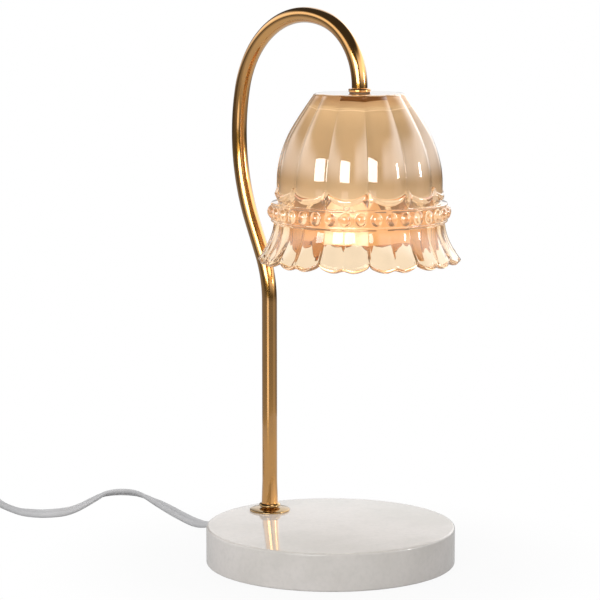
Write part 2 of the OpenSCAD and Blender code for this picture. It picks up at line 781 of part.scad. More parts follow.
// Bulb, which turns in the lampholder
function reflector_at(s) = bulb_base_d / 2 + (bulb_d - bulb_base_d) / 2 * sin(90 * s);
reflector_h = bulb_h - bulb_base_h - rim_h;
reflector_steps = 8;
function reflector_line(off) = [
  for (i = [0 : reflector_steps])
    let (s = i / reflector_steps) [reflector_at(s) - off, base_low_z - s * reflector_h]
];

module bulb_base() {
  c = bulb_base_d / 12;
  r = bulb_base_d / 2;
  color(ceramic) at_head(base_low_z) rotate_extrude() polygon([
    [0, 0], [r, 0], [r, bulb_base_h - c], [r - c, bulb_base_h], [0, bulb_base_h]
  ]);
}

module bulb_pins() {
  neck_l = lip_t + 2 * air;
  color(steel) at_head(bulb_z) {
    at_pins(0, 0) cylinder(d = pin_neck_d, h = neck_l);
    at_pins(0, neck_l) cylinder(d = pin_head_d, h = pin_head_h);
  }
}

module bulb_reflector() {
  inner = reflector_line(reflector_t);
  color(steel) at_head(0) rotate_extrude() polygon(concat(
    reflector_line(0), [[bulb_d / 2, face_z], [bulb_d / 2 - reflector_t, face_z]],
    [for (i = [reflector_steps : -1 : 0]) inner[i]]
  ));
}

module bulb_capsule() {
  r = capsule_d / 2;
  color(amber) at_head(base_low_z - capsule_l) {
    translate([0, 0, r]) cylinder(r = r, h = capsule_l - r);
    translate([0, 0, r]) sphere(r);
  }
}

module bulb_lens() {
  color(amber) at_head(face_z + fit) cylinder(r = bulb_d / 2 - reflector_t - fit, h = lens_t);
}

// Dimmer, drawn along X about its middle and then turned into the cord's line
wheel_r = wheel_d / 2;
shaft_r = shaft_d / 2;
wheel_z = dimmer_h + wheel_proud - wheel_r;
inner_l = dimmer_l - 2 * case_t;
inner_w = dimmer_w - 2 * case_t;
inner_r = case_r - case_t;
boss_at = [inner_l / 2 - boss_r - case_t, inner_w / 2 - 0.7 * boss_r];
board_z = wheel_z - wheel_r - air - board_t;
cheek_y = wheel_w / 2 + 2 * air;
cheek_t = 3;
cheek_w = shaft_d + 4;
post_y = -cheek_y - cheek_t;
shaft_l = 2 * (cheek_y + cheek_t);
cheek_top = dimmer_h - case_t - air;
board_l = 2 * (boss_at.x - boss_r - air);
board_w = inner_w / 2 - fit + cheek_y;
notch_w = cord_w + 2 * fit;
notch_h = cord_t + 2 * fit;
grip_x = inner_l / 2 - grip_l;

module case_shell(z, h) {
  translate([0, 0, z]) linear_extrude(h) rounded(dimmer_l, dimmer_w, case_r);
}

module case_hollow(z, h) {
  translate([0, 0, z]) linear_extrude(h) rounded(inner_l, inner_w, inner_r);
}

module cord_notches() {
  for (s = [-1, 1]) translate([s * (dimmer_l - case_t) / 2, 0, split_z])
    cube([case_t + 2 * cut, notch_w, notch_h], center = true);
}

module cord_stops(z, h) {
  for (s = [-1, 1]) translate([s * (grip_x - case_t / 2) - case_t / 2, -cord_w / 2, z])
    cube([case_t, cord_w, h]);
}

module shaft_bore(y) {
  translate([0, y + cheek_t + cut, wheel_z]) rotate([90, 0, 0])
    cylinder(r = shaft_r + run_fit, h = cheek_t + 2 * cut);
}

module at_bosses(z) {
  for (s = [-1, 1]) translate([s * boss_at.x, s * boss_at.y, z]) children();
}

module dimmer_lower() {
  color(white_pvc) at_dimmer() difference() {
    union() {
      difference() {
        case_shell(0, split_z);
        case_hollow(case_t, split_z);
      }
      at_bosses(0) cylinder(r = boss_r, h = split_z);
      cord_stops(0, split_z);
      for (s = [-1, 1]) translate([s * board_l / 4 - case_t / 2, -cheek_y, 0])
        cube([case_t, board_w - cut, board_z]);
      translate([-cheek_w / 2, post_y, 0]) cube([cheek_w, cheek_t, cheek_top]);
    }
    cord_notches();
    at_bosses(-cut) cylinder(d = case_screw_d + 2 * fit, h = split_z + 2 * cut);
    at_bosses(-cut) cylinder(d = case_head_d + 2 * fit, h = case_head_h + air + cut);
    shaft_bore(post_y);
  }
}

module dimmer_upper() {
  slot_l = 2 * wheel_r + 4 * air;
  slot_w = 2 * cheek_y;
  top = dimmer_h - case_t;
  color(white_pvc) at_dimmer() difference() {
    union() {
      difference() {
        case_shell(split_z, dimmer_h - split_z);
        case_hollow(split_z - cut, top - split_z + cut);
      }
      at_bosses(split_z) cylinder(r = boss_r, h = top - split_z);
      cord_stops(split_z, top - split_z);
    }
    cord_notches();
    at_bosses(split_z - cut) cylinder(d = case_screw_d + 2 * fit, h = top - split_z);
    translate([-slot_l / 2, -slot_w / 2, split_z]) cube([slot_l, slot_w, dimmer_h]);
  }
}

module dimmer_wheel() {
  groove_r = 0.7;
  color(brass) at_dimmer() translate([0, wheel_w / 2, wheel_z]) rotate([90, 0, 0]) difference() {
    cylinder(d = wheel_d, h = wheel_w);
    translate([0, 0, -cut]) cylinder(r = shaft_r + fit, h = wheel_w + 2 * cut);
    for (k = [0 : wheel_grooves - 1]) rotate(360 * k / wheel_grooves)
      translate([wheel_r + groove_r / 3, 0, -cut]) cylinder(r = groove_r, h = wheel_w + 2 * cut);
  }
}

module dimmer_shaft() {
  color(steel) at_dimmer() translate([0, shaft_l / 2, wheel_z]) rotate([90, 0, 0])
    cylinder(r = shaft_r, h = shaft_l);
}

module dimmer_pot() {
  z = board_z + board_t;
  color(dark_rubber) at_dimmer() difference() {
    translate([-cheek_w / 2, cheek_y, z]) cube([cheek_w, cheek_t, cheek_top - z]);
    shaft_bore(cheek_y);
  }
}

module dimmer_board() {
  color(board_green) at_dimmer() translate([-board_l / 2, -cheek_y, board_z])
    cube([board_l, board_w, board_t]);
}

module dimmer_screws() {
  color(steel) at_dimmer() at_bosses(case_head_h + air)
    screw(case_screw_d, case_head_d, case_head_h, dimmer_h - 2 * case_t - case_head_h - cut);
}

// Cord, coil, tie and plug
module cord_run() {
  color(white_pvc) cord_tube(smooth_route(concat(run_route, run_last), cord_steps), cord_sides);
}

module cord_tail() {
  color(white_pvc) cord_tube(smooth_route(concat(tail_route, tail_last), cord_steps), cord_sides);
}

module cord_coil() {
  echo(least_gap_of_coil = coil_gap(cord_rings(coil_route, coil_sides)));
  color(white_pvc) cord_tube(coil_route, coil_sides);
}

module coil_tie() {
  far = coil_radius(0.5) + cord_t / 2 + air;
  near = coil_radius(layer_turns + climb_turns / 2) - cord_t / 2 - air;
  low = low_z - cord_w / 2 - air;
  high = high_z + cord_w / 2 + air;
  color(white_pvc) translate([coil_c.x - tie_w / 2, coil_c.y, 0]) rotate([90, 0, 90]) linear_extrude(tie_w)
    translate([(near + far) / 2, (low + high) / 2]) difference() {
      rounded(far - near + 2 * tie_t, high - low + 2 * tie_t, 2 * tie_t);
      rounded(far - near, high - low, tie_t);
    }
}

module plug_side(w, neck) {
  shoulder = plug_l / 3;
  half = w / 2;
  polygon([[0, -neck], [shoulder, -half], [plug_l, -half], [plug_l, half], [shoulder, half], [0, neck]]);
}

module plug_body() {
  neck = plug_h / 3;
  color(white_pvc) at_plug() {
    rotate([0, 90, 0]) cylinder(r1 = tip_r, r2 = neck, h = plug_boot_l);
    translate([plug_boot_l, 0, 0]) intersection() {
      linear_extrude(plug_h, center = true) plug_side(plug_w, neck);
      rotate([90, 0, 0]) linear_extrude(plug_w, center = true) plug_side(plug_h, neck);
    }
  }
}

module plug_blades() {
  hole_d = blade_w / 2;
  color(brass) at_plug() for (s = [-1, 1])
    translate([plug_boot_l + plug_l, s * blade_pitch / 2 - blade_t / 2, -blade_w / 2]) difference() {
      cube([blade_l, blade_t, blade_w]);
      translate([blade_l - hole_d * 1.5, -cut, blade_w / 2]) rotate([-90, 0, 0])
        cylinder(d = hole_d, h = blade_t + 2 * cut);
    }
}

marble_base();
base_pad();
foot_flange();
foot_collar();
lock_washer();
lock_nut();
arm_tube();
strain_relief();
lead_wires();
neck_ring();
neck_gasket();
glass_shade();
shade_nipple();
shade_gasket();
shade_washer();
clamp_nut();
holder_strap();
strap_nut();
lampholder();
holder_contacts();
holder_screws();
bulb_base();
bulb_pins();
bulb_reflector();
bulb_capsule();
bulb_lens();
dimmer_lower();
dimmer_upper();
dimmer_wheel();
dimmer_shaft();
dimmer_pot();
dimmer_board();
dimmer_screws();
cord_run();
cord_tail();
cord_coil();
coil_tie();
plug_body();
plug_blades();
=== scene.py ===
"""Looks of a table lamp: marble disc, brass goose neck, pressed amber glass shade and flat white cord."""
import math

import bmesh
import bpy
from bpy.props import FloatProperty, FloatVectorProperty, PointerProperty
from mathutils import Matrix, Vector


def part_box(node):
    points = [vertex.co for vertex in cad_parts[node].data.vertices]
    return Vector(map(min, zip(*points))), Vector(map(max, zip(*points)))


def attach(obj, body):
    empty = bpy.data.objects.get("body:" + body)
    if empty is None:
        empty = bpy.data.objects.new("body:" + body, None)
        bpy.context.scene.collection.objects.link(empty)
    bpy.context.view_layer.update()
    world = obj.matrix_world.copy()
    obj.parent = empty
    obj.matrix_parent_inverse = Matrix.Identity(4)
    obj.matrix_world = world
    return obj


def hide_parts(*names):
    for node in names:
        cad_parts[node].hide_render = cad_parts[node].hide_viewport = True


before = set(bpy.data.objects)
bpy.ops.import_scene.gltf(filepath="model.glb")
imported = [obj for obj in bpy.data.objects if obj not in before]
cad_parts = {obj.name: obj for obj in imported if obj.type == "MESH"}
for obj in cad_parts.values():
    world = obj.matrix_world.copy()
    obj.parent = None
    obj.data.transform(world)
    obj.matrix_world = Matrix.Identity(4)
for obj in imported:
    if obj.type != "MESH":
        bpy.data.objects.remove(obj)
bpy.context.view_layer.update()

bl_info = {
    "name": "Goose-neck lamp",
    "version": (1, 0, 0),
    "blender": (4, 5, 0),
    "location": "3D View > Sidebar > Lamp",
    "description": "Marble base, brass goose neck, pressed amber glass shade and flat cord",
    "category": "Object",
}

MM = 0.001
UP = Vector((0, 0, 1))
BLACK = (0, 0, 0)
WHITE = (1, 1, 1)

# Line along which a piece's corners and faces are put in order, because the operators give them in none
ORDER = Vector((1, math.sqrt(2), math.sqrt(3)))

# View of the photograph: turn round the lamp, tilt, place in metres and lens in mm
SIGHT_TURN = math.radians(46.81)
SIGHT_TILT = math.radians(7.848)
SIGHT_PLACE = (0.9174, -0.8831, 0.314)
SIGHT_LENS = 149.3

# Places that the solids give
base_low, base_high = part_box("marble_base")
flange_low, flange_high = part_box("foot_flange")
collar_low, collar_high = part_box("foot_collar")
ring_low, ring_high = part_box("neck_ring")
glass_low, glass_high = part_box("glass_shade")
relief_low, relief_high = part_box("strain_relief")
pad_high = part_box("base_pad")[1]
gasket_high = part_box("shade_gasket")[1]
foot_x = (flange_low.x + flange_high.x) / 2
head_x = (ring_low.x + ring_high.x) / 2

# Across the bulb's filament
FILAMENT_WAY = (0.684, 0.729, 0)

# Bends of the tube: centre's x and height in mm, degrees, steps and way round, with a straight after the first
STEM_BEND = (-107, 133, 25, 14, -1)
STRAIGHT = 18
NECK_BENDS = ((39.458, 221.161, 38, 24, 1), (-19.003, 234.665, 95, 48, 1), (-14.368, 248.930, 72, 36, 1))

# Strain relief: radius at its root and tip and length in mm, and its ribs
BOOT_ROOT = 4.4
BOOT_TIP = 3
BOOT_LENGTH = 20
BOOT_RIBS = 5


def length(label, text, size_mm):
    """A length of the lamp, given in millimetres and kept in metres."""
    return FloatProperty(name=label, description=text, default=size_mm * MM, min=0, unit="LENGTH", precision=4)


def colour(label, text, value):
    """A linear colour of one of the lamp's finishes."""
    return FloatVectorProperty(
        name=label, description=text, default=value, min=0, max=1, size=3, subtype="COLOR")


class LampSizes(bpy.types.PropertyGroup):
    """Sizes of the base, the neck and the cord."""
    top_edge: length("Top edge", "Rounding of the marble's upper edge", 1.4)
    low_edge: length("Lower edge", "Rounding of the marble's lower edge", 1)
    pad_inset: length("Pad inset", "How far the pad's edge stands in from the marble's", 5)
    tube: length("Tube radius", "Radius of the brass tube", 4)
    flare: length("Foot flare", "How much wider the tube is at its foot", 0.4)
    flare_height: length("Flare height", "Height over which the foot narrows", 12)
    cord_width: length("Cord width", "Width of the flat cord", 5.4)
    cord_thickness: length("Cord thickness", "Thickness of the flat cord", 2.8)
    groove: FloatProperty(
        name="Cord groove", description="Depth of the groove between the two cores, as a share of the thickness",
        default=0.42, min=0, max=0.6, subtype="FACTOR")


class ShadeSizes(bpy.types.PropertyGroup):
    """Sizes of the pressed glass."""
    top: length("Top radius", "Radius of the flat top", 22)
    dome: length("Dome radius", "Radius of the dome's creases at its lower edge", 39.8)
    dome_height: length("Dome height", "Depth at which the dome is widest", 45)
    lobe: length("Lobe", "How far a panel bulges between two creases", 2.6)
    cusp: length("Cusp depth", "Depth of the scalloped edge at a crease", 47.5)
    scallop: length("Scallop depth", "Depth of the scalloped edge at a panel's middle", 53.5)
    roll: length("Scallop roll", "Height of the clear roll along the scalloped edge", 3.3)
    neck: length("Neck radius", "Radius between the dome and the beads", 41.2)
    stud: length("Stud", "Height of the pointed studs at the cusps", 2.0)
    stud_at: length("Stud depth", "Depth of a stud's point", 50.4)
    band: length("Band radius", "Radius of the band that carries the beads", 44.6)
    band_top: length("Band top", "Depth of the band's upper edge", 55.2)
    band_height: length("Band height", "Height of the band", 9.6)
    bead: length("Bead width", "Half the width of a bead", 2.6)
    bead_tall: length("Bead height", "Half the height of a bead", 3.1)
    bead_rise: length("Bead rise", "How far a bead stands out", 2.1)
    waist: length("Waist radius", "Radius of the skirt at its top", 42.6)
    skirt_flare: length("Skirt flare", "How far the skirt spreads", 6.8)
    petal: length("Petal", "How far a petal bulges", 2.5)
    gap: length("Petal gap", "How far the edge rises between two petals", 4.3)
    tip: length("Petal tip", "Depth of the petals' tips", 86.5)
    wall: length("Wall", "Thickness of the glass at a crease", 3)
    roof: length("Roof", "Thickness of the glass at the top", 6.9)
    turn: FloatProperty(
        name="Turn", description="Turn of a panel's middle from the lamp's axis",
        default=math.radians(6.5), subtype="ANGLE")


class LampColours(bpy.types.PropertyGroup):
    """Colours of the finishes."""
    marble: colour("Marble", "Pale body of the marble", (0.76, 0.72, 0.69))
    cloud: colour("Marble clouds", "Greyer clouds in the marble", (0.64, 0.61, 0.57))
    brass: colour("Brass", "Lacquered brass of the neck", (0.76, 0.36, 0.06))
    # Painted shade: a darker copy of the brass stands in for the shade on the flange and collar
    foot: colour("Foot brass", "Duller brass of the flange and collar", (0.52, 0.33, 0.13))
    amber: colour("Amber glass", "What a wall of the glass lets through", (0.975, 0.80, 0.575))
    lining: colour("Lining", "Tan lustre on the inside of the dome", (0.55, 0.485, 0.385))
    border: colour("Border", "Pale edge of the lining along the scallops", (0.70, 0.65, 0.57))
    cord: colour("Cord", "White of the cord and its fittings", (0.57, 0.57, 0.58))
    glow: colour("Glow", "Light of the lit bulb", (1.0, 0.94, 0.84))
    ember: colour("Ember", "Dimmer side of the lit bulb", (0.60, 0.40, 0.22))


class LampSettings(bpy.types.PropertyGroup):
    """All that a user would change."""
    sizes: PointerProperty(type=LampSizes)
    shade: PointerProperty(type=ShadeSizes)
    colours: PointerProperty(type=LampColours)


class Value:
    """A shader socket that takes part in Python expressions."""

    def __init__(self, finish, socket):
        self.finish = finish
        self.socket = socket

    def math(self, operation, a, b):
        return self.finish.node("ShaderNodeMath", {"operation": operation}, {0: a, 1: b})

    def __add__(self, other):
        return self.math("ADD", self, other)

    def __sub__(self, other):
        return self.math("SUBTRACT", self, other)

    def __rsub__(self, other):
        return self.math("SUBTRACT", other, self)

    def __mul__(self, other):
        return self.math("MULTIPLY", self, other)

    def __abs__(self):
        return self.finish.node("ShaderNodeMath", {"operation": "ABSOLUTE"}, {0: self})

    __radd__ = __add__
    __rmul__ = __mul__


class Finish:
    """The nodes of one material or of the world."""

    def __init__(self, name, owner=None):
        self.owner = owner or bpy.data.materials.new(name)
        self.owner.use_nodes = True
        self.tree = self.owner.node_tree
        self.tree.nodes.clear()

    def node(self, kind, settings, sockets, output=0):
        """One node: its type, its settings, the values or links of its sockets, and the output to go on with."""
        made = self.tree.nodes.new(kind)
        for key, value in settings.items():
            setattr(made, key, value)
        for key, value in sockets.items():
            socket = made.inputs[key]
            if isinstance(value, Value):
                self.tree.links.new(value.socket, socket)
            elif socket.type == "RGBA":
                socket.default_value = (*value[:3], 1)
            else:
                socket.default_value = value
        return Value(self, made.outputs[output]) if made.outputs else None

    def place(self):
        """Object coordinates, in metres."""
        return self.node("ShaderNodeTexCoord", {}, {}, "Object")

    def height(self):
        """Height above the table, in metres."""
        return self.node("ShaderNodeSeparateXYZ", {}, {0: self.place()}, "Z")

    def along(self, place, direction):
        """How far a place or a direction reaches along another direction."""
        return self.node("ShaderNodeVectorMath", {"operation": "DOT_PRODUCT"}, {0: place, 1: direction}, "Value")

    def ray(self, kind):
        """1 for rays of one kind and 0 for the others."""
        return self.node("ShaderNodeLightPath", {}, {}, f"Is {kind} Ray")

    def noise(self, scale, detail=3, rough=0.5):
        """Soft noise whose size is one part in scale of a metre."""
        return self.node("ShaderNodeTexNoise", {}, {
            "Vector": self.place(), "Scale": scale, "Detail": detail, "Roughness": rough})

    def ramp(self, value, low, high):
        """A value spread out between two others and held at 0 and 1."""
        return self.node("ShaderNodeMapRange", {"interpolation_type": "SMOOTHSTEP"}, {
            "Value": value, "From Min": low, "From Max": high})

    def mix(self, share, a, b):
        """A colour between two others."""
        return self.node("ShaderNodeMix", {"data_type": "RGBA"}, {0: share, 6: a, 7: b}, 2)

    def bump(self, height, distance, strength=1.0):
        """Fine relief, with its depth in metres."""
        return self.node("ShaderNodeBump", {}, {"Strength": strength, "Distance": distance, "Height": height})

    def principled(self, sockets):
        return self.node("ShaderNodeBsdfPrincipled", {}, sockets)

    def surface(self, shader, **volume):
        """The material, once its surface is linked, and its inside where it has one."""
        self.node("ShaderNodeOutputMaterial", {}, {"Surface": shader, **volume})
        return self.owner


def darker(shade, share):
    """A colour taken down by a share."""
    return tuple(part * share for part in shade)


def marble_finish(colours):
    """Polished white marble: soft grey clouds, sugary grain, even gloss."""
    f = Finish("polished_marble")
    clouds = f.noise(16, 6, 0.55)
    grain = f.noise(420, 4, 0.6)
    body = f.mix(f.ramp(clouds, 0.38, 0.72), colours.marble, colours.cloud)
    speckled = f.mix(f.ramp(grain, 0.35, 0.80) * 0.22, body, (0.50, 0.49, 0.46))
    return f.surface(f.principled({
        "Base Color": speckled, "Roughness": 0.045 + grain * 0.03, "IOR": 1.5}))


def brass_finish(shade, name="lacquered_brass", rough=0.1, coat=1.0):
    """Lacquered brass with a faint grain and a few dull patches."""
    f = Finish(name)
    patches = f.noise(60, 3)
    grain = f.noise(2600, 2)
    tone = f.mix(f.ramp(patches, 0.35, 0.75), shade, darker(shade, 0.9))
    return f.surface(f.principled({
        "Base Color": tone, "Metallic": 1.0, "Roughness": rough + patches * 0.05 + grain * 0.04,
        "Coat Weight": coat, "Coat IOR": 1.9, "Coat Roughness": 0.05, "Normal": f.bump(grain, 0.000004, 0.12)}))


def amber_finish(colours, name="amber_glass", lustre=True):
    """Clear amber glass, pressed in a mould, so that its face ripples a little. Lamps shine through it, and a
    glow painted on its lower half stands in for the lit bulb's light. Its outside has a lustre, thinner on the
    petals."""
    f = Finish(name)
    ripple = f.noise(140, 2)
    tint = f.mix(f.ramp(ripple, 0.3, 0.7), colours.amber, darker(colours.amber, 0.98))
    height = f.height() - glass_low.z
    # Painted glow: ember-coloured emission over the glass's lower half stands in for the lit bulb's light through
    # it
    painted_glow_share = (f.ramp(height, 0.012, 0.024) * 0.6 + 0.4) * f.ramp(height, 0.045, 0.03)
    lit = f.mix(painted_glow_share, BLACK, darker(colours.ember, 0.2))
    coat = f.ramp(height, 0.016, 0.03) * 0.6 + 0.4 if lustre else 0.0
    glass = f.principled({
        "Base Color": tint, "Roughness": 0.005 + ripple * 0.015, "IOR": 1.5, "Transmission Weight": 1.0,
        "Coat Weight": coat, "Coat IOR": 1.85, "Coat Roughness": 0.02, "Emission Color": lit,
        "Emission Strength": 1.0, "Normal": f.bump(ripple, 0.0001, 0.2)})
    clear = f.node("ShaderNodeBsdfTransparent", {}, {"Color": darker(colours.amber, 0.97)})
    tinted = f.node("ShaderNodeVolumeAbsorption", {}, {"Color": (0.84, 0.60, 0.36), "Density": 30.0})
    return f.surface(f.node("ShaderNodeMixShader", {}, {0: f.ray("Shadow"), 1: glass, 2: clear}), Volume=tinted)


def lining_finish(colours, name, shade):
    """Lustre fired on the inside of the dome, with painted light that makes it paler under the roof. A glow
    painted towards its lower edge stands in for the bulb shining through it."""
    f = Finish(name)
    depth = glass_high.z - f.height()
    cloud = f.noise(45, 3)
    # Painted light: the lining is painted paler near the roof
    lower = f.ramp(depth, 0.006, 0.02)
    tone = f.mix(lower + cloud * 0.3 - 0.15, darker(shade, 1.28), shade)
    # Painted glow: emission towards the dome's lower edge stands in for the bulb's light shining through the
    # lining
    lit = f.mix(f.ramp(depth, 0.038, 0.054), BLACK, darker(colours.glow, 0.12))
    return f.surface(f.principled({
        "Base Color": tone, "Roughness": 0.4 + cloud * 0.1, "Emission Color": lit, "Emission Strength": 1.0,
        "Normal": f.bump(cloud, 0.00005, 0.2)}))


def plastic_finish(name, shade, rough=0.35, relief=0.00001, sheen=0.5):
    """Moulded plastic, ceramic or rubber: near even colour, a fine skin and a few scuffs."""
    f = Finish(name)
    clouds = f.noise(90, 3)
    skin = f.noise(1800, 2)
    tone = f.mix(f.ramp(clouds, 0.35, 0.75), shade, darker(shade, 0.94))
    return f.surface(f.principled({
        "Base Color": tone, "Roughness": rough + clouds * 0.08 + skin * 0.05, "Specular IOR Level": sheen,
        "Normal": f.bump(skin, relief, 0.5)}))


def metal_finish(name, shade, rough=0.25):
    """Plated steel or a contact metal with a rolled grain."""
    f = Finish(name)
    grain = f.noise(900, 3)
    tone = f.mix(f.ramp(grain, 0.3, 0.8), shade, darker(shade, 0.85))
    return f.surface(f.principled({
        "Base Color": tone, "Metallic": 1.0, "Roughness": rough + grain * 0.12,
        "Normal": f.bump(grain, 0.00001, 0.3)}))


def glow_finish(name, shade, light, ember, strength, rough=0.2):
    """Part of the lit bulb: warm glass that gives light, brightest where the filament stands near it."""
    f = Finish(name)
    cloud = f.noise(220, 2)
    tone = f.mix(f.ramp(cloud, 0.3, 0.7), shade, darker(shade, 0.95))
    across = f.along(f.place(), FILAMENT_WAY) - FILAMENT_WAY[0] * head_x
    away = abs(across + cloud * 0.004 + 0.004)
    height = f.height() - glass_low.z
    ends = f.ramp(height, 0.0215, 0.0175) + f.ramp(height, 0.026, 0.029)
    warm = f.mix(f.ramp(away, 0.005, 0.014) * ends + (1 - ends), light, ember)
    return f.surface(f.principled({
        "Base Color": tone, "Roughness": rough, "Emission Color": warm, "Emission Strength": strength}))


def settle(bm, name, materials, nodes, crease=35):
    """Close a bmesh and make it a named piece that rides on the lamp and stands for its solids."""
    bmesh.ops.remove_doubles(bm, verts=bm.verts, dist=1e-6)
    bmesh.ops.recalc_face_normals(bm, faces=bm.faces)
    bm.verts.sort(key=lambda vert: vert.co.dot(ORDER))
    bm.faces.sort(key=lambda face: face.calc_center_median().dot(ORDER))
    mesh = bpy.data.meshes.new(name)
    bm.to_mesh(mesh)
    bm.free()
    mesh.shade_smooth()
    mesh.set_sharp_from_angle(angle=math.radians(crease))
    for material in materials:
        mesh.materials.append(material)
    piece = bpy.data.objects.new(name, mesh)
    bpy.context.scene.collection.objects.link(piece)
    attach(piece, "lamp")
    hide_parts(*nodes)
    return piece


def spun(outline, axis_at, steps=96, along=UP):
    """A bmesh turned about an axis from an outline of radius and height, in metres. The outline closes on itself
    or ends on the axis."""
    bm = bmesh.new()
    across = along.orthogonal().normalized()
    points = [bm.verts.new(axis_at + across * r + along * h) for r, h in outline]
    edges = [bm.edges.new(pair) for pair in zip(points, points[1:])]
    if outline[0][0] > 0 or outline[-1][0] > 0:
        edges.append(bm.edges.new((points[-1], points[0])))
    bmesh.ops.spin(
        bm, geom=points + edges, cent=axis_at, axis=along, angle=2 * math.pi, steps=steps, use_merge=True)
    return bm


def dress(node, material):
    """Give a solid that stays a finish of its own."""
    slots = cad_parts[node].data.materials
    slots.clear()
    slots.append(material)


def blend4(a, b, c, d, t):
    """A point on the smooth curve from b to c."""
    return 0.5 * (2 * b + (c - a) * t + (2 * a - 5 * b + 4 * c - d) * t ** 2 + (3 * b - a - 3 * c + d) * t ** 3)


def smooth_route(points, steps):
    """A smooth curve through points of x, y, height and roll, each stretch cut into steps."""
    last = len(points) - 1
    route = []
    for i in range(last):
        near = [Vector(points[min(max(k, 0), last)]) for k in (i - 1, i, i + 1, i + 2)]
        route += [blend4(*near, k / steps) for k in range(steps)]
    return route + [Vector(points[last])]


# Route on the table from the strain relief's tip, then into the dimmer: x, y, height and roll, in mm and degrees
CORD_OUT = (-85, 0, 4.6)
RUN_POINTS = (
    (0, 0, 4.6, 0), (-3, 0, 4.6, 0), (-6, 0, 4.6, 0), (-13, 0, 3.4, -12), (-20, 0.5, 2.6, -28),
    (-31, 3, 2.3, -42), (-50, 9, 2.3, -42), (-74, 18, 1.9, -18), (-90, 23.5, 1.7, 12), (-100, 26, 2, 30),
    (-109.5, 26, 2.2, 40), (-116.5, 20.5, 2.3, 40), (-118, 11.5, 2.2, 30), (-113, 0, 1.8, 10),
    (-105.5, -14, 1.6, 0), (-99, -27, 1.9, -20), (-97, -37, 2.2, -40), (-101, -46.5, 2.3, -40),
    (-110, -51, 2.1, -30), (-121, -51, 1.7, -10), (-140, -47, 1.5, 0), (-160, -38.5, 1.5, 0),
    (-180, -26.5, 1.5, 0), (-192, -20.5, 1.7, 0), (-204, -18, 2.6, 0), (-216, -21, 4.3, 0),
    (-224, -29, 6.2, 0), (-227, -40, 7, 0), (-227, -48, 7, 0), (-227, -54.8, 7, 0))
# Route from the dimmer's far face to the coil
DIMMER_OUT = (-312, -100, 7)
TAIL_POINTS = (
    (0, 6.8, 7, 0), (0, 0, 7, 0), (0, -4, 7, 0), (3, -13.5, 6.6, 15), (11, -21.5, 5.8, 40),
    (22, -25, 4.9, 65), (34, -25, 4, 90), (42, -25, 4, 90), (48.6, -25, 4, 90))
# Coil on edge: seven turns, in below and out above, then the lead to the plug
COIL_MIDDLE = Vector((-258, -90))
COIL_RADIUS = 35
COIL_STEP = 3.4
COIL_TURNS = 7
COIL_LAYER = 3.25
COIL_CLIMB = 0.5
COIL_LOW = 4.0
COIL_HIGH = 10.0
ROUTE_STEPS = 6
LEAD_POINTS = ((-250.8, -125, 9.9, 70), (-244.8, -125, 9.45, 35), (-240, -125, 9, 8), (-234, -125, 9, 0))


def placed(start, points):
    """A route's points, moved to where it starts on the table."""
    return [(start[0] + x, start[1] + y, z, roll) for x, y, z, roll in points]


def coil_points(rings=48):
    """The coil's axis, turn by turn."""
    points = []
    middle = COIL_LAYER + COIL_CLIMB / 2
    for i in range(COIL_TURNS * rings + 1):
        t = i / rings
        radius = COIL_RADIUS - COIL_STEP * (min(t, middle) - max(0, t - middle))
        angle = 2 * math.pi * t - math.pi / 2
        climb = min(max((t - COIL_LAYER) / COIL_CLIMB, 0), 1)
        points.append(Vector((
            COIL_MIDDLE.x + radius * math.cos(angle), COIL_MIDDLE.y + radius * math.sin(angle),
            COIL_LOW + (COIL_HIGH - COIL_LOW) * climb, 90)))
    return points


def cord_outline(sizes, sides=36):
    """Outline of the flat cord: two round cores side by side with a groove between."""
    outline = []
    for k in range(sides):
        angle = 2 * math.pi * (k + 0.5) / sides
        across = math.cos(angle)
        dip = 1 - sizes.groove * math.exp(-(across / 0.22) ** 2)
        lift = math.copysign(abs(math.sin(angle)) ** 0.7, math.sin(angle)) * dip
        outline.append((across * sizes.cord_width / 2, lift * sizes.cord_thickness / 2))
    return outline


def cord_sweep(route, outline):
    """A bmesh of the flat cord, its outline drawn out ring by ring along a route in mm and degrees."""
    bm = bmesh.new()
    ring = bmesh.ops.create_circle(bm, segments=len(outline), radius=MM)["verts"]
    last = len(route) - 1
    for i, point in enumerate(route):
        if i:
            edges = [bm.edges.get((a, b)) for a, b in zip(ring, ring[1:] + ring[:1])]
            grown = bmesh.ops.extrude_edge_only(bm, edges=edges)["geom"]
            fresh = {g for g in grown if isinstance(g, bmesh.types.BMVert)}
            ring = [next(e.other_vert(v) for e in v.link_edges if e.other_vert(v) in fresh) for v in ring]
        ahead = (route[min(i + 1, last)] - route[max(i - 1, 0)]).to_3d().normalized()
        side = UP.cross(ahead).normalized()
        rise = ahead.cross(side)
        roll = math.radians(point[3])
        wide = math.cos(roll) * side + math.sin(roll) * rise
        thick = math.cos(roll) * rise - math.sin(roll) * side
        for vert, (w, t) in zip(ring, outline):
            vert.co = point.to_3d() * MM + wide * w + thick * t
    bmesh.ops.holes_fill(bm, edges=[e for e in bm.edges if e.is_boundary], sides=0)
    return bm


def route_length(route):
    """Length of a route in metres."""
    return sum((b - a).to_3d().length for a, b in zip(route, route[1:])) * MM


def relief_outline(root, tip, size, ribs):
    """Outline of a tapered strain relief with ribs: radius and distance from its root, in metres."""
    outline = [(0, 0), (root - 0.3 * MM, 0), (root, 0.3 * MM)]
    pitch = size / (ribs + 1)
    for k in range(ribs):
        at = pitch * (k + 0.55)
        radius = root + (tip - root) * at / size
        outline += [
            (radius, at), (radius - 0.45 * MM, at + 0.2 * pitch),
            (radius - 0.45 * MM, at + 0.4 * pitch), (radius - 0.05 * MM, at + 0.6 * pitch)]
    return outline + [(tip, size - 0.4 * MM), (tip - 0.4 * MM, size), (0, size)]


